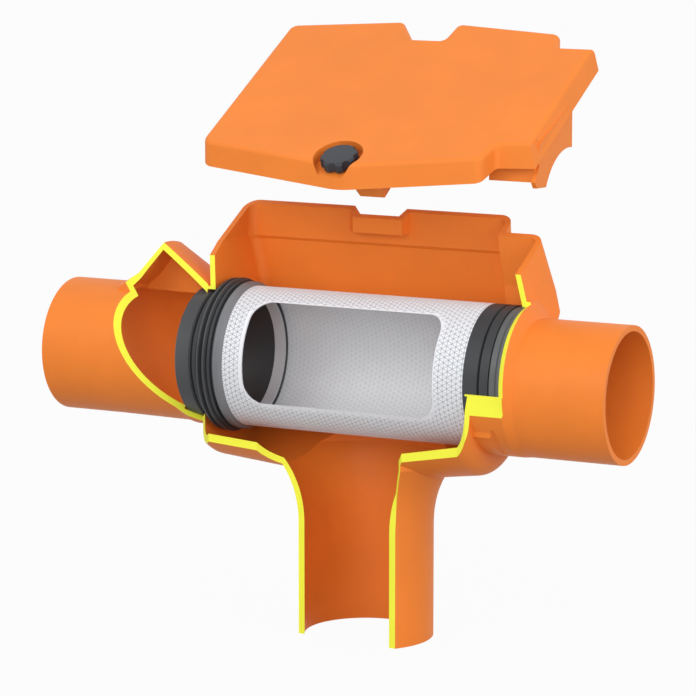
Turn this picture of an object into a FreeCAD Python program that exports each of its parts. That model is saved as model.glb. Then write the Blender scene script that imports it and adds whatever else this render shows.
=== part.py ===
import FreeCAD, Part
import math
import os

# Rainwater tank filter for 110 mm pipes, cut open at the front, with its lid lifted off.
# Millimetres, +X towards the outlet, +Y to the uncut back, +Z up.
# The origin is the centre of the downpipe's lower end. Heights below are measured
# from the outlet axis, which lies AXIS_HEIGHT above that end.

# Pipes
PIPE_OD = 110.0
PIPE_WALL = 4.7
AXIS_HEIGHT = 216.0
INLET_RISE = 5.0
INLET_END_X = -271.0
INLET_SPIGOT_LENGTH = 52.0
INLET_SWELL = 0.9
OUTLET_END_X = 227.0

# Housing box
WALL = 4.6
RIM_HEIGHT = 91.5
RIM_ANGLE = 27.0
BOX_LEFT = -141.0
BOX_STEP_X = 100.0
BOX_RIGHT = 136.0
BOX_HALF_DEPTH = 67.0
NARROW_HALF_DEPTH = 46.0
BOX_CORNER_R = 12.0
CREASE_HEIGHT = 96.5
CREASE_STEP = 1.8
THROAT_HEIGHT = 60.0
END_DRAFT = 0.25
SIDE_DRAFT = 0.14
NOTCH_LEFT = -42.0
NOTCH_RIGHT = 5.0
NOTCH_DEPTH = 10.0
NOTCH_DROP = 8.0

# Sump under the cartridge
SUMP_LEFT = -133.0
SUMP_RIGHT = 117.0
SUMP_HALF_WIDTH = 74.0
SUMP_END_DEPTH = 75.0
SUMP_MIDDLE_DEPTH = 88.0
SUMP_END_R = 14.0
FLARE_TOP_R = 76.0
FLARE_SIDE_R = 62.0
FLARE_TOP_Z = -68.0
FLARE_BOTTOM_Z = -122.0

# Hump over the inlet
HUMP_HALF_DEPTH = 25.0
HUMP_FOOT_X = -217.0
HUMP_PEAK_X = -183.0
HUMP_PEAK_R = 90.5
HUMP_END_X = -136.5

# Cartridge, with its rings sized from the filter tube
CARTRIDGE_RISE = 6.5
MESH_R = 57.0
MESH_THICKNESS = 1.6
MESH_LEFT = -111.0
MESH_RIGHT = 113.0
WINDOW_HALF_LENGTH = 84.0
WINDOW_TILT = 15.5
WINDOW_CORNER_R = 15.0
WINDOW_HALF_CHORD = 0.72 * MESH_R
COLLAR_BORE_R = MESH_R - 8.0
COLLAR_CORE_R = MESH_R - 5.7
INNER_RING_R = MESH_R - 6.0
INLET_SEAL_R = MESH_R - 2.4
OUTLET_SEAL_R = MESH_R + 0.5
LIP_R = MESH_R + 5.6
BAND_R = MESH_R + 3.4
INLET_COLLAR_LEFT = -147.0
INLET_SEAL_WIDTH = 14.5
OUTLET_COLLAR_RIGHT = 142.0
OUTLET_SEAL_WIDTH = 4.4
OUTLET_RING_WIDTH = 6.0
OUTLET_BAND_WIDTH = 12.0
BAND_WIDTH = 9.5

# Sockets that hold the cartridge ends
SEAT_CLEARANCE = 0.02
INLET_SOCKET_LEFT = -148.5
INLET_SOCKET_LENGTH = 12.0
INLET_CLEAR_R = MESH_R + 0.3
OUTLET_SOCKET_RIGHT = 143.0
OUTLET_NECK_X = 144.0
NECK_LENGTH = 7.0
MOUTH_R = 6.0
GROOVE_R = 2.2
GROOVE_SINK = 1.3

# Lid and where it is held above the opening
LID_SHIFT_Y = 80.0
LID_LIFT = 130.0
LID_TOP = 7.0
LID_HEIGHT = 20.0
LID_WALL = 3.5
LID_EDGE_R = 4.5
LID_LEFT = -144.5
LID_STEP_X = 108.0
LID_RIGHT = 137.5
LID_REAR = 86.0
LID_NOTCH_Y = 62.0
LID_NARROW_REAR = 58.5
LID_FRONT = 112.5
APRON_X = 141.0
APRON_BACK_Y = 6.9
ARCH_R = 53.0
ARCH_AXIS_Z = -1.5
LIP_Y = -64.0
LIP_BOTTOM_Z = 30.0
TONGUE_LEFT = 1.0
TONGUE_RIGHT = 25.0
TONGUE_FRONT_Y = -104.0
TONGUE_BELOW_TOP = 75.0
TONGUE_DROP = 8.0

# Lock in the lid
KNOB_X = -16.0
KNOB_Y = -98.0
KNOB_R = 15.5
KNOB_HEIGHT = 8.0
KNOB_LOBES = 8
POCKET_R = 20.5
POCKET_SHIFT = 1.5
POCKET_DEPTH = 9.8
SPINDLE_R = 5.0
SPINDLE_CLEARANCE = 0.08
WASHER_R = 9.0
WASHER_THICKNESS = 1.2
CAM_LENGTH = 31.0
CAM_THICKNESS = 3.6

V = FreeCAD.Vector
FAR = 600.0
PIPE_R = PIPE_OD / 2
BORE_R = PIPE_R - PIPE_WALL
RIM_SLOPE = math.tan(math.radians(RIM_ANGLE))
INLET_SOCKET_R = INLET_SEAL_R + SEAT_CLEARANCE
OUTLET_SOCKET_R = OUTLET_SEAL_R + SEAT_CLEARANCE

os.makedirs("parts", exist_ok=True)


def save(name, shape):
    """Write one piece, moved up from the outlet axis to the origin."""
    moved = shape.copy()
    moved.translate(V(0, 0, AXIS_HEIGHT))
    if not moved.isValid():
        print("not valid:", name)
    print(name, "solids", len(moved.Solids), "volume", round(moved.Volume))
    moved.exportStep("parts/" + name + ".step")


def polygon(points):
    return Part.Wire(Part.makePolygon(points + [points[0]]).Edges)


def prism(points, direction):
    return Part.Face(polygon(points)).extrude(direction)


def half_space(point, normal):
    """A large block whose face passes through point, on the side that normal points to."""
    block = Part.makeBox(2 * FAR, 2 * FAR, FAR, V(-FAR, -FAR, 0))
    block.Placement = FreeCAD.Placement(point, FreeCAD.Rotation(V(0, 0, 1), normal))
    return block


def rounded_rectangle(x0, x1, half, z, r):
    """A closed outline at height z, from x0 to x1 and half to each side."""
    k = r * (1 - math.sqrt(0.5))
    edges = []
    ends = []
    for sx, sy in ((1, 1), (-1, 1), (-1, -1), (1, -1)):
        x = x1 if sx > 0 else x0
        y = sy * half
        along_x = V(x - sx * r, y, z)
        along_y = V(x, y - sy * r, z)
        middle = V(x - sx * k, y - sy * k, z)
        first, last = (along_y, along_x) if sx * sy > 0 else (along_x, along_y)
        edges.append(Part.Arc(first, middle, last).toShape())
        ends.append((first, last))
    joined = []
    for i in range(4):
        joined.append(edges[i])
        joined.append(Part.LineSegment(ends[i][1], ends[(i + 1) % 4][0]).toShape())
    return Part.Wire(joined)


def tube_x(x0, x1, r, z):
    return Part.makeCylinder(r, x1 - x0, V(x0, 0, z), V(1, 0, 0))


def circle_x(x, r, z):
    return Part.Wire(Part.makeCircle(r, V(x, 0, z), V(1, 0, 0)))


def taper_x(x0, r0, z0, x1, r1, z1):
    return Part.makeLoft([circle_x(x0, r0, z0), circle_x(x1, r1, z1)], True, True)


def revolve_x(points, z):
    """Turn an outline of (x, r) points about an axis along X at height z."""
    face = Part.Face(polygon([V(x, 0, z + r) for x, r in points]))
    return face.revolve(V(0, 0, z), V(1, 0, 0), 360)


def fuse(shapes):
    return shapes[0].multiFuse(shapes[1:]).removeSplitter()


def rim_section(x1, level, rear, front, inset, r):
    """A rounded outline parallel to the rim, level above it on the axis, from x = 60 to x1."""
    k = math.cos(math.radians(RIM_ANGLE))
    wire = rounded_rectangle(60 + inset, x1 - inset, (rear + front) / 2 / k - inset, 0, r)
    wire.translate(V(0, (rear - front) / 2 / k, 0))
    wire.rotate(V(0, 0, 0), V(1, 0, 0), RIM_ANGLE)
    wire.translate(V(0, 0, level))
    return wire


def box_form(inset):
    """The box with its drafts, each face moved in by inset: the wide part and the narrow part."""
    radius = BOX_CORNER_R - inset
    top = RIM_HEIGHT + 50
    wide = []
    for z, x0, x1, half in (
        (top, BOX_LEFT, BOX_STEP_X, BOX_HALF_DEPTH),
        (CREASE_HEIGHT, BOX_LEFT, BOX_STEP_X + 2, BOX_HALF_DEPTH),
        (CREASE_HEIGHT - 2.5, BOX_LEFT + 0.8, BOX_STEP_X + 2.5, BOX_HALF_DEPTH + CREASE_STEP),
        (THROAT_HEIGHT, SUMP_LEFT, BOX_STEP_X + 6, BOX_HALF_DEPTH + 4.5),
        (INLET_RISE, SUMP_LEFT, SUMP_RIGHT, SUMP_HALF_WIDTH),
    ):
        wide.append(rounded_rectangle(x0 + inset, x1 - inset, half - inset, z, radius))
    narrow = []
    lean = SIDE_DRAFT * RIM_SLOPE
    for level, drop in ((top, 0), (THROAT_HEIGHT - 12, 0), (32, 3)):
        x1 = BOX_RIGHT + (RIM_HEIGHT - level) * END_DRAFT
        half = NARROW_HALF_DEPTH + (RIM_HEIGHT + 20 - level) * SIDE_DRAFT - drop
        narrow.append(rim_section(x1, level, half / (1 + lean), half / (1 - lean), inset, radius))
    narrow.append(rim_section(OUTLET_SOCKET_RIGHT - 3, -8, 50, 50, inset, radius))
    return [Part.makeLoft(wide, True, True), Part.makeLoft(narrow, True, True)]


def sump_section(x, half, depth):
    """A deep trough outline across X: a half ellipse with short upright sides."""
    bottom = Part.Arc(Part.Ellipse(V(x, 0, -depth), V(x, half, INLET_RISE), V(x, 0, INLET_RISE)),
                      -math.pi / 2, math.pi / 2).toShape()
    top = INLET_RISE + 20
    corners = [V(x, half, INLET_RISE), V(x, half, top), V(x, -half, top), V(x, -half, INLET_RISE)]
    sides = [Part.LineSegment(corners[i], corners[i + 1]).toShape() for i in range(3)]
    return Part.Wire([bottom] + sides)


def sump_form(inset):
    half = SUMP_HALF_WIDTH - inset
    trough = Part.makeLoft([
        sump_section(SUMP_LEFT + inset, half, SUMP_END_DEPTH - inset),
        sump_section(0, half, SUMP_MIDDLE_DEPTH - inset),
        sump_section(SUMP_RIGHT - inset, half, SUMP_END_DEPTH - inset - 3),
    ], True, True)
    ends = []
    for edge in trough.Edges:
        box = edge.BoundBox
        if box.XLength < 0.01 and abs(box.Center.x) > 100 and box.ZLength > 50 and box.YLength > 50:
            ends.append(edge)
    return trough.makeFillet(SUMP_END_R - inset, ends)


def flare_form(inset):
    """The downpipe and its flared mouth, whose sides run up to where they meet the sump's."""
    radius = PIPE_R - inset
    rise = FLARE_TOP_Z - FLARE_BOTTOM_Z
    spread = math.radians(45)

    def ring(z, share):
        rx = radius + (FLARE_TOP_R - PIPE_R) * share + 0.001
        ry = radius + (FLARE_SIDE_R - PIPE_R) * share
        return Part.Wire(Part.Ellipse(V(0, 0, z), rx, ry).toShape())

    rings = []
    for step in range(5):
        angle = spread * step / 4
        share = (1 - math.cos(angle)) / (1 - math.cos(spread))
        rings.append(ring(FLARE_BOTTOM_Z + rise * math.sin(angle) / math.sin(spread), share))
    pipe = Part.makeLoft([ring(-AXIS_HEIGHT, 0), rings[0]], True, True)
    narrowing = math.sqrt(1 - (FLARE_SIDE_R / SUMP_HALF_WIDTH) ** 2)
    meeting_z = INLET_RISE - (SUMP_MIDDLE_DEPTH + INLET_RISE) * narrowing
    upright = Part.makeLoft([rings[-1], ring(meeting_z + 2, 1)], True, True)
    return pipe.multiFuse([Part.makeLoft(rings, True, False), upright])


def hump_form(inset):
    """The raised pocket over the inlet, where the cartridge is tilted out."""
    foot = HUMP_FOOT_X
    peak = HUMP_PEAK_X
    end = HUMP_END_X
    low = 15
    if inset == 0:
        outline = [(foot - 2, low), (foot, 57), (foot + 15, 66.5), (peak, HUMP_PEAK_R),
                   (end, 62), (end + 4.5, 55), (end + 4.5, low)]
    else:
        outline = [(foot + 7, low), (foot + 7, 53), (foot + 17.5, 62.6), (peak + 0.5, HUMP_PEAK_R - 5.6),
                   (end, 56.7), (end, low)]
    side = revolve_x(outline, INLET_RISE)
    half = HUMP_HALF_DEPTH - inset
    plan = [(foot - 15, half - 6), (peak, half), (-128, half)]
    points = [V(x, y, 0) for x, y in plan] + [V(x, -y, 0) for x, y in reversed(plan)]
    return side.common(prism(points, V(0, 0, 150)))


def wall_notch(inset):
    """The pocket in the rear wall's upper edge; inset is 0 outside and the wall inside."""
    y0 = BOX_HALF_DEPTH - NOTCH_DEPTH - inset
    slant = 9.0
    z0 = RIM_HEIGHT + RIM_SLOPE * y0 - NOTCH_DROP - inset
    plan = [(NOTCH_LEFT - slant - inset, BOX_HALF_DEPTH + 9), (NOTCH_LEFT + slant - inset, y0),
            (NOTCH_RIGHT - 3 + inset, y0), (NOTCH_RIGHT + 2 + inset, BOX_HALF_DEPTH + 9)]
    return prism([V(x, y, z0) for x, y in plan], V(0, 0, 80))


def upper_cut():
    """What is cut off the box's front: back to a steep plane above the cartridge."""
    steep = half_space(V(0, -6, RIM_HEIGHT - 1.5), V(0, -1, 0.35))
    bend_z = RIM_HEIGHT - 32.5
    above = steep.common(Part.makeBox(450, 400, 200, V(-350, -350, bend_z)))
    end = Part.makeBox(250, 346, 200, V(BOX_STEP_X, -350, bend_z))
    below = Part.makeBox(700, 200, bend_z + 100, V(-350, -217, -99))
    return above.multiFuse([end, below])


def cutaway():
    """The pieces cut off the front of the housing to show its inside."""
    split = -134
    ledge_z = 1.4
    slant = half_space(V(0, 0, -208.3), V(0.704, -0.5, 0.505))
    left = slant.common(Part.makeBox(split + 267.5, 500, 400, V(-267.5, -400, -200)))
    left = left.common(upper_cut())
    right = Part.makeBox(290, 500, 300, V(split, -400, ledge_z)).common(upper_cut())
    cone = revolve_x([(48.8, 0), (192.8, 90), (300, 90), (300, 0)], CARTRIDGE_RISE)
    right = right.cut(cone)
    arc = Part.Arc(V(-76, -46, 0), V(-64, -32, 0), V(-49, -24, 0)).toShape()
    plan = [(-49, -24), (43, -35), (54, -48.4), (104, -53), (113, -58.3), (145, -58.3), (145, -200),
            (split, -200), (split, -30), (-120, -46), (-76, -46)]
    lines = [V(x, y, 0) for x, y in plan]
    sides = [Part.LineSegment(lines[i], lines[i + 1]).toShape() for i in range(len(lines) - 1)]
    lower = Part.Face(Part.Wire([arc] + sides)).extrude(V(0, 0, 2 * FAR))
    lower.translate(V(0, 0, -FAR))
    return [left, right, lower]


def socket_mouth():
    """The rounding where the sump's end wall turns into the lower half of the outlet socket."""
    x = SUMP_RIGHT - WALL
    r = OUTLET_SOCKET_R
    z = CARTRIDGE_RISE
    k = MOUTH_R * (1 - math.sqrt(0.5))
    arc = Part.Arc(V(x, 0, z + r + MOUTH_R), V(x + k, 0, z + r + k), V(x + MOUTH_R, 0, z + r)).toShape()
    corners = [V(x + MOUTH_R, 0, z + r), V(x + MOUTH_R, 0, z + r - 1), V(x - 1, 0, z + r - 1),
               V(x - 1, 0, z + r + MOUTH_R), V(x, 0, z + r + MOUTH_R)]
    sides = [Part.LineSegment(corners[i], corners[i + 1]).toShape() for i in range(4)]
    mouth = Part.Face(Part.Wire([arc] + sides)).revolve(V(0, 0, z), V(1, 0, 0), 360)
    return mouth.common(Part.makeBox(60, 300, 200, V(x - 20, -150, -200)))


def neck_groove(x, radius, z, start, sweep):
    """A shallow round-ended groove under the outlet, start degrees from its lowest line."""
    axis = V(1, 0, 0)
    centre = V(x, 0, z - radius - GROOVE_R + GROOVE_SINK)
    disc = Part.Face(Part.Wire(Part.makeCircle(GROOVE_R, centre, V(0, 1, 0))))
    disc.rotate(V(0, 0, z), axis, -start)
    pieces = [disc.revolve(V(0, 0, z), axis, -sweep)]
    for angle in (start, start + sweep):
        ball = Part.makeSphere(GROOVE_R, centre)
        ball.rotate(V(0, 0, z), axis, -angle)
        pieces.append(ball)
    return fuse(pieces)


def housing():
    z = INLET_RISE
    seat_z = CARTRIDGE_RISE
    inlet_r = INLET_SOCKET_R + WALL
    outlet_r = OUTLET_SOCKET_R + WALL
    spigot_end = INLET_END_X + INLET_SPIGOT_LENGTH
    socket = INLET_SOCKET_LEFT
    clear = socket + INLET_SOCKET_LENGTH + 0.5
    neck = OUTLET_NECK_X
    outlet_start = BOX_STEP_X
    body = fuse(box_form(0) + [
        sump_form(0),
        flare_form(0),
        hump_form(0),
        tube_x(INLET_END_X, spigot_end, PIPE_R, z),
        taper_x(spigot_end, PIPE_R, z, socket - 5, PIPE_R + INLET_SWELL, z),
        tube_x(socket - 5, MESH_LEFT, PIPE_R + INLET_SWELL, z),
        taper_x(socket - 5, PIPE_R + INLET_SWELL, z, socket + 3, inlet_r, seat_z),
        tube_x(socket + 3, -120, inlet_r, seat_z),
        tube_x(outlet_start, neck, outlet_r, seat_z),
        taper_x(neck, outlet_r, seat_z, neck + NECK_LENGTH, PIPE_R, 0),
        tube_x(outlet_start + 20, OUTLET_END_X, PIPE_R, 0),
    ])
    wide, narrow = box_form(WALL)
    notch = wall_notch(WALL)
    body = body.cut(fuse([
        wide.cut(notch),
        narrow,
        sump_form(WALL),
        flare_form(PIPE_WALL),
        hump_form(WALL),
        tube_x(INLET_END_X, MESH_LEFT, BORE_R, z),
        tube_x(socket, clear, INLET_SOCKET_R, seat_z),
        tube_x(clear, -120, INLET_CLEAR_R, seat_z),
        tube_x(outlet_start, OUTLET_SOCKET_RIGHT, OUTLET_SOCKET_R, seat_z),
        taper_x(OUTLET_SOCKET_RIGHT, OUTLET_SOCKET_R, seat_z, neck + NECK_LENGTH - 2, BORE_R, 0),
        tube_x(OUTLET_SOCKET_RIGHT - 5, OUTLET_END_X, BORE_R, 0),
    ]))
    body = body.cut(wall_notch(0))
    rim = half_space(V(0, 0, RIM_HEIGHT), V(0, -RIM_SLOPE, 1))
    body = body.cut(rim.common(Part.makeBox(500, 400, 400, V(BOX_LEFT - 2, -200, 0))))
    for piece in cutaway() + [socket_mouth(), neck_groove(133.5, outlet_r, seat_z, 26, 30)]:
        body = body.cut(piece)
    return body.removeSplitter()


def mesh_sleeve():
    """The filter tube with the window cut in its front."""
    z = CARTRIDGE_RISE
    tube = tube_x(MESH_LEFT, MESH_RIGHT, MESH_R, z).cut(
        tube_x(MESH_LEFT, MESH_RIGHT, MESH_R - MESH_THICKNESS, z))
    outline = rounded_rectangle(-WINDOW_HALF_LENGTH, WINDOW_HALF_LENGTH, WINDOW_HALF_CHORD, 0,
                                WINDOW_CORNER_R)
    window = Part.Face(outline).extrude(V(0, 0, MESH_R + 20))
    window.rotate(V(0, 0, 0), V(1, 0, 0), 90 - WINDOW_TILT)
    window.translate(V(0, 0, z))
    return tube.cut(window)


def ring(x0, x1, r_in, r_out, chamfer):
    """A plain ring about the cartridge axis with its outer corners taken off."""
    c = chamfer
    return revolve_x([(x0, r_in), (x0, r_out - c), (x0 + c, r_out), (x1 - c, r_out),
                      (x1, r_out - c), (x1, r_in)], CARTRIDGE_RISE)


def lip_ring(x, width, r_in, r_out):
    """A rubber sealing ring that narrows to a lip."""
    half = width / 2
    return revolve_x([(x - half, r_in), (x - half, r_in + 1.5), (x - 0.8, r_out), (x + 0.6, r_out),
                      (x + half, r_in + 1.5), (x + half, r_in)], CARTRIDGE_RISE)


def inlet_end():
    """The collar, its liner ring, seals and clamp band at the cartridge's inlet end."""
    left = INLET_COLLAR_LEFT
    seal_end = left + INLET_SEAL_WIDTH
    spigot = MESH_R - MESH_THICKNESS - 0.05
    flange = MESH_LEFT - 0.05
    lip_1 = flange - 10.6
    lip_2 = lip_1 + 5.4
    core = COLLAR_CORE_R
    seat = core + 3
    liner_x = MESH_LEFT + 3
    end = MESH_LEFT + 12.5
    profile = [(left, COLLAR_BORE_R), (left, core), (seal_end + 2, core),
               (seal_end + 2.6, INLET_SEAL_R + 0.6), (seal_end + 5.5, INLET_SEAL_R + 0.6),
               (seal_end + 6.2, seat), (lip_2 + 2.6, seat), (lip_2 + 3, LIP_R - 1.2),
               (flange, LIP_R - 1.2), (flange, spigot), (end - 1, spigot), (end, spigot - 1),
               (end, INNER_RING_R), (liner_x, INNER_RING_R), (liner_x, COLLAR_BORE_R)]
    save("inlet_collar", revolve_x(profile, CARTRIDGE_RISE))
    save("inlet_inner_ring", ring(liner_x + 0.05, end, COLLAR_BORE_R, INNER_RING_R - 0.02, 0.3))
    save("inlet_seal", ring(left + 0.3, seal_end - 0.1, core + 0.02, INLET_SEAL_R, 1.2))
    save("inlet_lip_ring_outer", lip_ring(lip_1, 5.0, seat + 0.02, LIP_R))
    save("inlet_lip_ring_inner", lip_ring(lip_2, 5.0, seat + 0.02, LIP_R + 0.4))
    save("inlet_clamp_band", ring(MESH_LEFT + 0.1, MESH_LEFT + BAND_WIDTH, MESH_R + 0.02, BAND_R, 2.6))


def outlet_end():
    """The collar, seals and clamp band at the cartridge's outlet end."""
    right = OUTLET_COLLAR_RIGHT
    spigot = MESH_R - MESH_THICKNESS - 0.05
    start = MESH_RIGHT - 12
    flange = MESH_RIGHT + 0.05
    band_end = MESH_RIGHT - 3 + OUTLET_BAND_WIDTH
    ring_start = right - OUTLET_SEAL_WIDTH - OUTLET_RING_WIDTH
    core = COLLAR_CORE_R
    top = OUTLET_SEAL_R - 0.15
    profile = [(start, COLLAR_BORE_R), (start, spigot - 1), (start + 1, spigot), (flange, spigot),
               (flange, MESH_R), (band_end + 0.2, MESH_R), (band_end + 1.2, core + 3),
               (band_end + 2.2, top), (ring_start - 0.3, top), (ring_start - 0.1, core), (right, core),
               (right, COLLAR_BORE_R)]
    save("outlet_collar", revolve_x(profile, CARTRIDGE_RISE))
    save("outlet_clamp_band", ring(MESH_RIGHT - 3, band_end, MESH_R + 0.02, top, 0.1))
    seal_start = right - OUTLET_SEAL_WIDTH
    save("outlet_lip_ring", ring(ring_start, seal_start - 0.1, core + 0.02, OUTLET_SEAL_R - 0.9, 0.8))
    save("outlet_seal", ring(seal_start, right - 0.3, core + 0.02, OUTLET_SEAL_R, 1.2))


def rounded_outline(corners):
    """A closed outline through (x, y, r) corners, each rounded to its own r."""
    pieces = []
    for i, (x, y, r) in enumerate(corners):
        after = corners[(i + 1) % len(corners)]
        here = V(x, y, 0)
        back = (V(corners[i - 1][0], corners[i - 1][1], 0) - here).normalize()
        ahead = (V(after[0], after[1], 0) - here).normalize()
        half = back.getAngle(ahead) / 2
        reach = r / math.tan(half)
        inward = (back + ahead).normalize() * (r / math.sin(half) - r)
        pieces.append((here + back * reach, here + inward, here + ahead * reach))
    edges = []
    for i, piece in enumerate(pieces):
        edges.append(Part.Arc(piece[0], piece[1], piece[2]).toShape())
        edges.append(Part.LineSegment(piece[2], pieces[(i + 1) % len(pieces)][0]).toShape())
    return Part.Wire(edges)


def lid_outline():
    """The lid seen from above: bent front and rear edges, a step and the rear notch."""
    beyond = LID_RIGHT + 20
    rear = LID_REAR
    notch_y = LID_NOTCH_Y
    end_y = LID_NARROW_REAR
    return rounded_outline([
        (LID_LEFT, rear - 10.5, 8), (NOTCH_LEFT - 2, rear, 6), (NOTCH_LEFT + 17, notch_y, 4),
        (NOTCH_RIGHT - 1.5, notch_y, 4), (NOTCH_RIGHT + 1.5, rear, 6), (LID_STEP_X - 7, rear - 9, 8),
        (LID_STEP_X, end_y, 5), (beyond, end_y, 1), (beyond, -71, 1), (LID_STEP_X + 2, -74, 5),
        (LID_STEP_X - 3, -93.5, 8), (-10, -LID_FRONT, 60), (LID_LEFT, -90.5, 12),
    ])


def lid_block(inset, top, bottom):
    """The lid's plan form between two planes parallel to the rim, with its drafted right end."""
    outline = lid_outline()
    if inset > 0:
        outline = outline.makeOffset2D(-inset)
    column = Part.Face(outline).extrude(V(0, 0, 400))
    column.translate(V(0, 0, -150))
    end = half_space(V(LID_RIGHT - inset, 0, RIM_HEIGHT + LID_TOP), V(1, -END_DRAFT * RIM_SLOPE, END_DRAFT))
    column = column.cut(end)
    column = column.cut(half_space(V(0, 0, top), V(0, -RIM_SLOPE, 1)))
    return column.cut(half_space(V(0, 0, bottom), V(0, RIM_SLOPE, -1)))


def on_lid(shape, depth=0.0, shift=0.0):
    """Stand a piece, made about Z, on the lid's top face at the knob."""
    top = RIM_HEIGHT + LID_TOP + RIM_SLOPE * KNOB_Y
    turn = FreeCAD.Rotation(V(1, 0, 0), RIM_ANGLE)
    placed = shape.copy()
    placed.translate(V(0, -shift, -depth))
    placed.Placement = FreeCAD.Placement(V(KNOB_X, KNOB_Y, top), turn).multiply(placed.Placement)
    return placed


def lifted(shape):
    moved = shape.copy()
    moved.translate(V(0, LID_SHIFT_Y, LID_LIFT))
    return moved


def apron():
    """The flap at the lid's right end, arched over the outlet, and the lip beside it."""
    top = RIM_HEIGHT + LID_TOP
    foot = ARCH_AXIS_Z + 27.0
    edge_y = LIP_Y + 3.0
    outline = [(APRON_BACK_Y, top - 10.5), (APRON_BACK_Y, ARCH_AXIS_Z + ARCH_R - 6.5), (-46, foot - 0.9),
               (LIP_Y - 0.6, foot), (LIP_Y - 4.8, foot + 5), (edge_y, top - 56.5), (edge_y, top - 38.5)]
    flap = prism([V(APRON_X - LID_WALL, y, z) for y, z in outline], V(LID_WALL, 0, 0))
    flap = flap.cut(tube_x(100, 200, ARCH_R, ARCH_AXIS_Z))
    lip_x = LID_STEP_X - 8.4
    lip = Part.makeBox(APRON_X - 2 - lip_x, LID_WALL, 100, V(lip_x, LIP_Y, LIP_BOTTOM_Z))
    return [flap, lip.cut(half_space(V(0, 0, top - LID_WALL / 2), V(0, -RIM_SLOPE, 1)))]


def tongue():
    """The wedge that hangs under the lid's front skirt."""
    front = TONGUE_FRONT_Y
    top = RIM_HEIGHT + LID_TOP - TONGUE_BELOW_TOP
    low = top - TONGUE_DROP
    outline = [(front - 2.3, top + 6), (front - 2.3, top), (front, top - 0.7), (front + 7.5, low),
               (front + 9, low), (front + 16, top - 1.5), (front + 16, top), (front + 1, top + 2),
               (front, top + 6)]
    wedge = prism([V(TONGUE_LEFT, y, z) for y, z in outline], V(TONGUE_RIGHT - TONGUE_LEFT, 0, 0))
    ends = [V(TONGUE_LEFT, 0, top + 10), V(TONGUE_LEFT, 0, top - 1), V(TONGUE_LEFT + 1.5, 0, low),
            V(TONGUE_RIGHT - 1.5, 0, low), V(TONGUE_RIGHT, 0, top - 1), V(TONGUE_RIGHT, 0, top + 10)]
    block = prism(ends, V(0, 200, 0))
    block.translate(V(0, -150, 0))
    return wedge.common(block)


def lid():
    top = RIM_HEIGHT + LID_TOP
    bottom = top - LID_HEIGHT
    outer = lid_block(0, top, bottom)
    rounded = [e for e in outer.Edges if e.Length > 0.5 and abs(
        e.CenterOfMass.z - RIM_SLOPE * e.CenterOfMass.y - top) < 0.5]
    outer = outer.makeFillet(LID_EDGE_R, rounded)
    shell = outer.cut(lid_block(LID_WALL, top - LID_WALL, bottom - 50))
    pocket = on_lid(Part.makeCylinder(POCKET_R + LID_WALL, 60), POCKET_DEPTH + LID_WALL, POCKET_SHIFT)
    shell = shell.fuse(pocket.common(outer))
    shell = shell.cut(on_lid(Part.makeCylinder(POCKET_R, 60), POCKET_DEPTH, POCKET_SHIFT))
    shell = shell.cut(on_lid(Part.makeCylinder(SPINDLE_R + SPINDLE_CLEARANCE, 60), 40))
    return shell.multiFuse(apron() + [tongue()]).removeSplitter()


def knob():
    """A star knob with a rounded top edge and deep gaps between its lobes."""
    body = Part.makeCylinder(KNOB_R, KNOB_HEIGHT)
    body = body.makeFillet(2.5, [e for e in body.Edges if e.BoundBox.ZMin > KNOB_HEIGHT - 0.1])
    gaps = []
    for i in range(KNOB_LOBES):
        angle = 2 * math.pi * i / KNOB_LOBES
        centre = V((KNOB_R + 1.5) * math.cos(angle), (KNOB_R + 1.5) * math.sin(angle), -1)
        gaps.append(Part.makeCylinder(3.8, KNOB_HEIGHT + 2, centre))
    return body.cut(gaps[0].multiFuse(gaps[1:]))


def lock():
    """The knob, its washer and spindle in the lid's pocket and the locking cam below."""
    gap = 0.3
    under = POCKET_DEPTH + LID_WALL
    base = POCKET_DEPTH - gap - WASHER_THICKNESS
    save("lid_knob", lifted(on_lid(knob(), base)))
    washer = Part.makeCylinder(WASHER_R, WASHER_THICKNESS - 0.02)
    washer = washer.cut(Part.makeCylinder(SPINDLE_R + 0.02, WASHER_THICKNESS))
    save("knob_washer", lifted(on_lid(washer, base + WASHER_THICKNESS)))
    spindle_length = WASHER_THICKNESS + LID_WALL + 2 * gap + CAM_THICKNESS + 0.5
    spindle = Part.makeCylinder(SPINDLE_R, spindle_length)
    save("knob_spindle", lifted(on_lid(spindle, base + spindle_length)))
    reach = CAM_LENGTH - 7
    cam = prism([V(x, y, 0) for x, y in ((-7, -7), (-7, 7), (reach, 4.5), (reach, -4.5))],
                V(0, 0, CAM_THICKNESS))
    cam = cam.cut(Part.makeCylinder(SPINDLE_R + 0.02, CAM_THICKNESS))
    save("lock_cam", lifted(on_lid(cam, under + gap + CAM_THICKNESS)))


save("housing", housing())
save("mesh_sleeve", mesh_sleeve())
inlet_end()
outlet_end()
save("lid", lifted(lid()))
lock()
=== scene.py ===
import math

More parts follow.
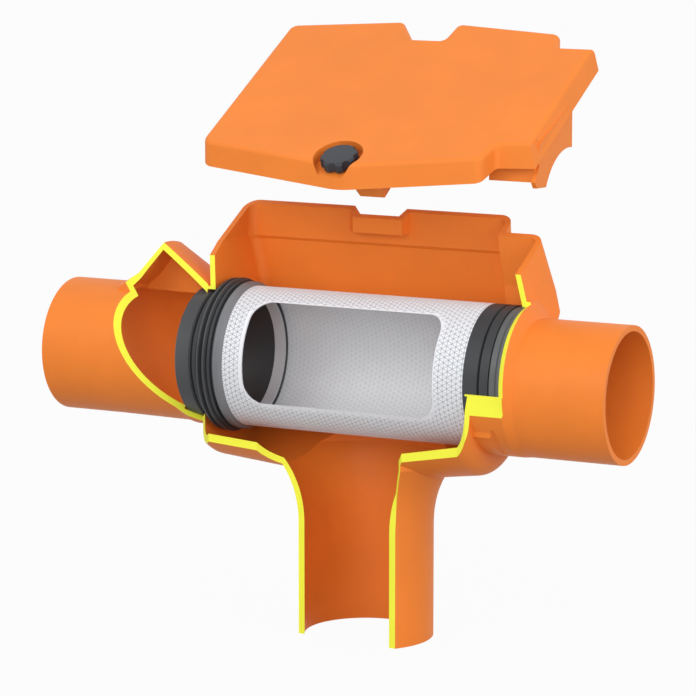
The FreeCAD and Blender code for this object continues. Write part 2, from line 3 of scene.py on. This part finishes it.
import bpy
import numpy as np
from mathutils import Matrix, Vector


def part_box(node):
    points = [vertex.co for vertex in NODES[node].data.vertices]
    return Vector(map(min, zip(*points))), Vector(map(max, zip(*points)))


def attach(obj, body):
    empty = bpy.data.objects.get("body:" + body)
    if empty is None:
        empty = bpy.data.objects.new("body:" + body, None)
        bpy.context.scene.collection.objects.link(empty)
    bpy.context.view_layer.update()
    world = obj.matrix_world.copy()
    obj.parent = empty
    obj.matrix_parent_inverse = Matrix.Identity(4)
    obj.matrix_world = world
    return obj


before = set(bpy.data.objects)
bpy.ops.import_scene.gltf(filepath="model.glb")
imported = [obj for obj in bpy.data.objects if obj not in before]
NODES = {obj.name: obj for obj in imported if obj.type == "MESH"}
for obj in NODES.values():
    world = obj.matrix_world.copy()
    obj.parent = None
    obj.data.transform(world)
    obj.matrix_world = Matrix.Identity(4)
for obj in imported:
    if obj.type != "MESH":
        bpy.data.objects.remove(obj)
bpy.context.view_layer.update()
MM = 0.001

# The photograph's camera, measured from the crossing of the downpipe and outlet axes
AXIS_HEIGHT = 216 * MM
IMAGE_PIXELS = 696
FOCAL_PIXELS = 3405.47
SENSOR = 36.0
CAMERA_AZIMUTH = math.radians(25.989)
CAMERA_ELEVATION = math.radians(9.813)
CAMERA_TARGET = Vector((-16.457 * MM, 0, 19.122 * MM + AXIS_HEIGHT))
CAMERA_DISTANCE = 2749.3 * MM
CAMERA_CLIP = 50

# The filter tube, placed by its own node, and its window, both as in the part's source
MESH_LOW, MESH_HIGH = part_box("mesh_sleeve")
MESH_AXIS_Z = (MESH_HIGH.z + MESH_LOW.z) / 2
MESH_R = 57 * MM
MESH_WALL = 1.6 * MM
WINDOW_HALF_LENGTH = 84 * MM
WINDOW_HALF_CHORD = 0.72 * MESH_R
WINDOW_CORNER_R = 15 * MM
WINDOW_TILT = math.radians(15.5)
WINDOW_RIM = 2.2 * MM

# The cloth on the filter tube: nearly equilateral cells, raised inside their narrow grooves
CLOTH_CELL = 4.5 * MM
CLOTH_RISE = 0.3 * MM
CLOTH_END = 0.5 * MM
CLOTH_GAP = 0.02 * MM
CELL_INSET = 0.74

# The cuts that open the housing, as in the part's source: millimetres from the outlet axis.
# Each plane is a point and a normal.
CUT_PLANES = [
    ((0, 0, -208.3), (0.704, -0.5, 0.505)),  # the slanted cut of the inlet side
    ((0, -6, 90), (0, -1, 0.35)),  # the steep cut above the filter tube
    ((0, -17, 0), (0, -1, 0)),  # the upright cut below it
    ((0, -4, 0), (0, -1, 0)),  # the upright cut of the narrow end
    ((0, 0, 1.4), (0, 0, 1)),  # the ledge beside the outlet socket
    ((0, 0, 59), (0, 0, 1)),  # the bend between the steep and the upright cut
    ((-134, 0, 0), (1, 0, 0)),  # the end of the inlet side
    ((145, 0, 0), (1, 0, 0)),  # the end of the lower cut
]
# Upright cuts through the sump and the downpipe, seen from above
CUT_PLANS = [
    [(-134, -30), (-120, -46), (-76, -46)],
    [(-49, -24), (43, -35), (54, -48.4), (104, -53), (113, -58.3), (145, -58.3)],
]
CUT_ARC = [(-76, -46), (-64, -32), (-49, -24)]
# The cone about the filter tube's axis: where its tip lies, and its length for each unit of radius
CONE_TIP_X = 48.8
CONE_SLOPE = 1.6
# How far a face may lie from a cut, and how well it must face along it, to count as cut
CUT_TOLERANCE = 0.35 * MM
PLANE_MATCH = 0.995
CONE_MATCH = 0.9
UPRIGHT_MATCH = 0.02

# Colours, linear
ORANGE = (0.9, 0.235, 0.03)
LID_ORANGE = (0.9, 0.24, 0.032)
SECTION_YELLOW = (0.98, 0.95, 0.06)
BLACK = (0.05, 0.052, 0.054)
RUBBER = (0.075, 0.076, 0.078)
KNOB_BLACK = (0.045, 0.048, 0.055)
RING_GREY = (0.13, 0.135, 0.13)
BAND_GREY = (0.2, 0.2, 0.205)
LINER_GREY = (0.6, 0.6, 0.605)
MESH_WHITE = (0.86, 0.86, 0.865)
# The filter cloth's grooves: painted shade, darker than the white cloth
MESH_GROOVE_PAINTED_SHADE = (0.26, 0.265, 0.275)
# The inner skin's grooves: a paler copy of the painted groove shade, painted light that lifts the
# shaded inside of the tube
MESH_INNER_GROOVE_PAINTED_LIGHT = (0.66, 0.665, 0.675)
WHITE = (1, 1, 1)
SKY = (0.9, 0.93, 1.0)
FLOOR_GREY = (0.36, 0.36, 0.36)

# How the moulded finishes vary
SPECULAR = 0.22
MOTTLE_SCALE = 20
MOTTLE_ENDS = (0.3, 0.7)
GLOSS_SPREAD = 0.06
GRAIN_DEPTH = 0.4 * MM

# The studio: each lamp is a name, a place, a size and a power
LAMPS = [
    ("key", (-0.7, -2.6, 2.0), 1.6, 21),
    ("fill", (2.8, -0.8, 1.3), 2.0, 26),
    ("front", (0.9, -2.7, 0.8), 1.2, 15),
]
LAMP_TARGET = Vector((0, 0, 0.2))
SKY_STRENGTH = 0.8
FLOOR_HALF = 12.0
FLOOR_ROUGHNESS = 0.9
FLOOR_GLOW = 0.96


def add_piece(name, mesh):
    piece = bpy.data.objects.new(name, mesh)
    bpy.context.scene.collection.objects.link(piece)
    return piece


def new_material(name):
    """A material with its node tree, that tree's links and its shader."""
    mat = bpy.data.materials.new(name)
    mat.use_nodes = True
    tree = mat.node_tree
    return mat, tree.nodes, tree.links, tree.nodes["Principled BSDF"]


def noise(nodes, links, coords, scale, detail):
    texture = nodes.new("ShaderNodeTexNoise")
    texture.inputs["Scale"].default_value = scale
    texture.inputs["Detail"].default_value = detail
    links.new(coords.outputs["Object"], texture.inputs["Vector"])
    return texture.outputs["Fac"]


def moulded(name, colour, rough, mottle, grain, grain_scale):
    """A moulded finish: slow changes of colour by mottle and of gloss, and a rough skin."""
    mat, nodes, links, shader = new_material(name)
    shader.inputs["Specular IOR Level"].default_value = SPECULAR
    coords = nodes.new("ShaderNodeTexCoord")
    slow = noise(nodes, links, coords, MOTTLE_SCALE, 4)
    ramp = nodes.new("ShaderNodeValToRGB")
    for stop, place, change in zip(ramp.color_ramp.elements, MOTTLE_ENDS, (-mottle, mottle)):
        stop.position = place
        stop.color = (*[min(1, c * (1 + change)) for c in colour], 1)
    links.new(slow, ramp.inputs["Fac"])
    links.new(ramp.outputs["Color"], shader.inputs["Base Color"])
    gloss = nodes.new("ShaderNodeMapRange")
    gloss.inputs["To Min"].default_value = rough - GLOSS_SPREAD
    gloss.inputs["To Max"].default_value = rough + GLOSS_SPREAD
    links.new(slow, gloss.inputs["Value"])
    links.new(gloss.outputs["Result"], shader.inputs["Roughness"])
    raised = nodes.new("ShaderNodeBump")
    raised.inputs["Strength"].default_value = grain
    raised.inputs["Distance"].default_value = GRAIN_DEPTH
    links.new(noise(nodes, links, coords, grain_scale, 3), raised.inputs["Height"])
    links.new(raised.outputs["Normal"], shader.inputs["Normal"])
    return mat


def filter_mesh():
    """White cloth whose grooves, held in a colour attribute, are painted grey: painted shade in the
    grooves.
    """
    mat, nodes, links, shader = new_material("filter_mesh")
    shader.inputs["Roughness"].default_value = 0.5
    cloth_painted_groove_shade = nodes.new("ShaderNodeVertexColor")
    cloth_painted_groove_shade.layer_name = "cloth_painted_groove_shade"
    links.new(cloth_painted_groove_shade.outputs["Color"], shader.inputs["Base Color"])
    return mat


def paint(name, *mats):
    """Give a CAD node its materials."""
    slots = NODES[name].data.materials
    slots.clear()
    for mat in mats:
        slots.append(mat)


def local(x, y, z):
    """A point given in millimetres from the outlet axis, in the frame's metres."""
    return Vector((x * MM, y * MM, z * MM + AXIS_HEIGHT))


def cut_faces():
    """The plane cuts of the housing, each as a point and a unit normal."""
    planes = [(local(*point), Vector(normal)) for point, normal in CUT_PLANES]
    for plan in CUT_PLANS:
        for (x0, y0), (x1, y1) in zip(plan, plan[1:]):
            planes.append((local(x0, y0, 0), Vector((y1 - y0, x0 - x1, 0))))
    return [(point, normal.normalized()) for point, normal in planes]


def on_plane(points, normal, place, facing):
    if abs(normal.dot(facing)) <= PLANE_MATCH:
        return False
    return all(abs((p - place).dot(facing)) < CUT_TOLERANCE for p in points)


def on_cone(points, normal):
    """Whether a face lies on the cone cut about the filter tube's axis."""
    for p in points:
        r = math.hypot(p.y, p.z - MESH_AXIS_Z)
        out = Vector((1, -CONE_SLOPE * p.y / r, -CONE_SLOPE * (p.z - MESH_AXIS_Z) / r))
        off = p.x - CONE_TIP_X * MM - CONE_SLOPE * r
        if abs(off) >= CUT_TOLERANCE or abs(normal.dot(out.normalized())) <= CONE_MATCH:
            return False
    return True


def on_arc(points, normal, x, y, r):
    """Whether a face lies on the upright round cut about (x, y)."""
    if abs(normal.z) >= UPRIGHT_MATCH:
        return False
    return all(abs(math.hypot(p.x - x, p.y - y) - r) < CUT_TOLERANCE for p in points)


def circle_through(a, b, c):
    """The centre and radius of the circle through three plan points."""
    d = 2 * (a[0] * (b[1] - c[1]) + b[0] * (c[1] - a[1]) + c[0] * (a[1] - b[1]))
    squares = [p[0] ** 2 + p[1] ** 2 for p in (a, b, c)]
    x = (squares[0] * (b[1] - c[1]) + squares[1] * (c[1] - a[1]) + squares[2] * (a[1] - b[1])) / d
    y = (squares[0] * (c[0] - b[0]) + squares[1] * (a[0] - c[0]) + squares[2] * (b[0] - a[0])) / d
    return x, y, math.hypot(a[0] - x, a[1] - y)


def mark_sections(mesh):
    """Give the cut faces of the housing the second material."""
    planes = cut_faces()
    arc = [v * MM for v in circle_through(*CUT_ARC)]
    for face in mesh.polygons:
        points = [mesh.vertices[i].co for i in face.vertices]
        flat = any(on_plane(points, face.normal, *plane) for plane in planes)
        if flat or on_cone(points, face.normal) or on_arc(points, face.normal, *arc):
            face.material_index = 1


def window_margin(x, angle):
    """How far a point of the tube is outside the window's rounded rectangle, in metres."""
    if math.cos(angle - WINDOW_TILT) < 0:
        return math.inf
    chord = abs(MESH_R * math.sin(angle - WINDOW_TILT))
    dx = max(abs(x) - WINDOW_HALF_LENGTH + WINDOW_CORNER_R, 0)
    dy = max(chord - WINDOW_HALF_CHORD + WINDOW_CORNER_R, 0)
    return math.hypot(dx, dy) - WINDOW_CORNER_R


def filter_cloth(name, radius, rise, groove_painted_shade, mat):
    """A skin of small raised triangles with narrow grooves between them, the groove vertices
    coloured with painted shade; rise < 0 faces inwards.
    """
    rows = 2 * round(math.pi * MESH_R / CLOTH_CELL)
    length = MESH_HIGH.x - MESH_LOW.x - 2 * CLOTH_END
    columns = round(length / (CLOTH_CELL * math.sqrt(0.75)))
    verts = []
    faces = []
    shades = []
    grooves = {}

    def add(x, turn, r, shade):
        angle = 2 * math.pi * turn / rows
        verts.append((x, -r * math.cos(angle), MESH_AXIS_Z + r * math.sin(angle)))
        shades.append((*shade, 1))
        return len(verts) - 1

    def place(i, j):
        """The lattice point in column i and row j, as x and turn."""
        return MESH_LOW.x + CLOTH_END + length / columns * i, j + 0.5 * (i % 2)

    def corner(i, j):
        """The one vertex in the grooves at a lattice point."""
        key = (i, j % rows)
        if key not in grooves:
            # each groove vertex takes the painted groove shade
            grooves[key] = add(*place(*key), radius, groove_painted_shade)
        return grooves[key]

    for i in range(columns):
        near, far = i % 2, (i + 1) % 2
        for j in range(rows):
            for cell in ([(i, j), (i + 1, j - far), (i + 1, j + 1 - far)],
                         [(i, j), (i + 1, j + near), (i, j + 1)]):
                spots = [place(*c) for c in cell]
                x, turn = [sum(values) / 3 for values in zip(*spots)]
                if window_margin(x, 2 * math.pi * turn / rows) < WINDOW_RIM:
                    continue
                low = [corner(*c) for c in cell]
                high = [add(x + (s[0] - x) * CELL_INSET, turn + (s[1] - turn) * CELL_INSET,
                            radius + rise, MESH_WHITE) for s in spots]
                flanks = [(low[k - 1], low[k], high[k], high[k - 1]) for k in (1, 2, 0)]
                for face in [tuple(high)] + flanks:
                    faces.append(face if rise > 0 else face[::-1])
    mesh = bpy.data.meshes.new(name)
    mesh.from_pydata(verts, [], faces)
    cloth_painted_groove_shade = mesh.color_attributes.new("cloth_painted_groove_shade", "FLOAT_COLOR", "POINT")
    cloth_painted_groove_shade.data.foreach_set("color", np.array(shades, dtype=np.float32).ravel())
    mesh.materials.append(mat)
    piece = add_piece(name, mesh)
    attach(piece, "filter")


def add_camera():
    level = math.cos(CAMERA_ELEVATION)
    forward = Vector((-math.sin(CAMERA_AZIMUTH) * level, math.cos(CAMERA_AZIMUTH) * level,
                      -math.sin(CAMERA_ELEVATION)))
    data = bpy.data.cameras.new("camera")
    data.sensor_width = SENSOR
    data.lens = FOCAL_PIXELS / IMAGE_PIXELS * SENSOR
    data.clip_end = CAMERA_CLIP
    camera = add_piece("camera", data)
    camera.location = CAMERA_TARGET - forward * CAMERA_DISTANCE
    camera.rotation_euler = forward.to_track_quat("-Z", "Y").to_euler()
    bpy.context.scene.camera = camera


def add_lamp(name, place, size, power):
    data = bpy.data.lights.new(name, "AREA")
    data.shape = "DISK"
    data.size = size
    data.energy = power
    lamp = add_piece(name, data)
    lamp.location = place
    lamp.rotation_euler = (LAMP_TARGET - Vector(place)).to_track_quat("-Z", "Y").to_euler()


def seen_share(nodes, links):
    """One for camera, glossy and transmission rays, which see the white background."""
    path = nodes.new("ShaderNodeLightPath")
    share = path.outputs["Is Camera Ray"]
    for ray in ("Is Glossy Ray", "Is Transmission Ray"):
        either = nodes.new("ShaderNodeMath")
        either.operation = "MAXIMUM"
        links.new(share, either.inputs[0])
        links.new(path.outputs[ray], either.inputs[1])
        share = either.outputs[0]
    return share


def mix_shaders(nodes, links, share, first, second, end):
    """Send a mix of two shaders, share of it the second, to the output node's surface."""
    mix = nodes.new("ShaderNodeMixShader")
    links.new(share, mix.inputs["Fac"])
    links.new(first.outputs[0], mix.inputs[1])
    links.new(second.outputs[0], mix.inputs[2])
    links.new(mix.outputs[0], end.inputs["Surface"])


def add_world():
    """A soft sky for the object, and white where it is seen."""
    world = bpy.data.worlds.new("studio")
    bpy.context.scene.world = world
    world.use_nodes = True
    nodes = world.node_tree.nodes
    links = world.node_tree.links
    nodes.clear()
    shades = []
    for colour, strength in ((SKY, SKY_STRENGTH), (WHITE, 1)):
        shade = nodes.new("ShaderNodeBackground")
        shade.inputs["Color"].default_value = (*colour, 1)
        shade.inputs["Strength"].default_value = strength
        shades.append(shade)
    mix_shaders(nodes, links, seen_share(nodes, links), *shades, nodes.new("ShaderNodeOutputWorld"))


def add_floor():
    """A grey floor that is seen nearly white and keeps the object's shadow."""
    mat, nodes, links, shader = new_material("floor")
    shader.inputs["Base Color"].default_value = (*FLOOR_GREY, 1)
    shader.inputs["Roughness"].default_value = FLOOR_ROUGHNESS
    glow = nodes.new("ShaderNodeEmission")
    glow.inputs["Color"].default_value = (*WHITE, 1)
    share = nodes.new("ShaderNodeMath")
    share.operation = "MULTIPLY"
    share.inputs[1].default_value = FLOOR_GLOW
    links.new(seen_share(nodes, links), share.inputs[0])
    mix_shaders(nodes, links, share.outputs[0], shader, glow, nodes["Material Output"])
    mesh = bpy.data.meshes.new("floor")
    half = FLOOR_HALF
    corners = [(-half, -half, 0), (half, -half, 0), (half, half, 0), (-half, half, 0)]
    mesh.from_pydata(corners, [], [(0, 1, 2, 3)])
    mesh.materials.append(mat)
    add_piece("floor", mesh)


# Each moulded finish: name, colour, roughness, mottle, strength of the grain and its scale
HOUSING = moulded("housing_plastic", ORANGE, 0.5, 0.04, 0.12, 900)
SECTION = moulded("section_plastic", SECTION_YELLOW, 0.6, 0.03, 0.2, 500)
LID = moulded("lid_plastic", LID_ORANGE, 0.5, 0.04, 0.12, 900)
COLLAR = moulded("collar_plastic", BLACK, 0.48, 0.12, 0.1, 1200)
SEAL = moulded("seal_rubber", RUBBER, 0.42, 0.12, 0.15, 1500)
RING = moulded("ring_rubber", RING_GREY, 0.42, 0.1, 0.1, 1500)
BAND = moulded("band_plastic", BAND_GREY, 0.4, 0.08, 0.1, 1200)
LINER = moulded("liner_plastic", LINER_GREY, 0.45, 0.08, 0.1, 1200)
KNOB = moulded("knob_plastic", KNOB_BLACK, 0.4, 0.15, 0.2, 1200)
SLEEVE = moulded("sleeve_plastic", MESH_WHITE, 0.5, 0.03, 0.05, 300)
CLOTH = filter_mesh()

FINISHES = {
    "lid": LID,
    "lid_knob": KNOB,
    "knob_washer": SEAL,
    "knob_spindle": KNOB,
    "lock_cam": KNOB,
    "mesh_sleeve": SLEEVE,
    "inlet_collar": COLLAR,
    "inlet_inner_ring": LINER,
    "inlet_seal": SEAL,
    "inlet_lip_ring_outer": SEAL,
    "inlet_lip_ring_inner": SEAL,
    "inlet_clamp_band": BAND,
    "outlet_collar": COLLAR,
    "outlet_clamp_band": COLLAR,
    "outlet_lip_ring": RING,
    "outlet_seal": RING,
}
for node_name, finish in FINISHES.items():
    paint(node_name, finish)
paint("housing", HOUSING, SECTION)
mark_sections(NODES["housing"].data)

outside = MESH_R + CLOTH_GAP
inside = MESH_R - MESH_WALL - CLOTH_GAP
# The outer skin's grooves carry the dark painted groove shade
filter_cloth("filter_cloth_outer", outside, CLOTH_RISE, MESH_GROOVE_PAINTED_SHADE, CLOTH)
# The inner skin's grooves are paler: painted light on the shaded inside of the tube
filter_cloth("filter_cloth_inner", inside, -CLOTH_RISE, MESH_INNER_GROOVE_PAINTED_LIGHT, CLOTH)

bpy.context.scene.view_settings.view_transform = "Standard"
add_world()
add_floor()
for lamp in LAMPS:
    add_lamp(*lamp)
add_camera()
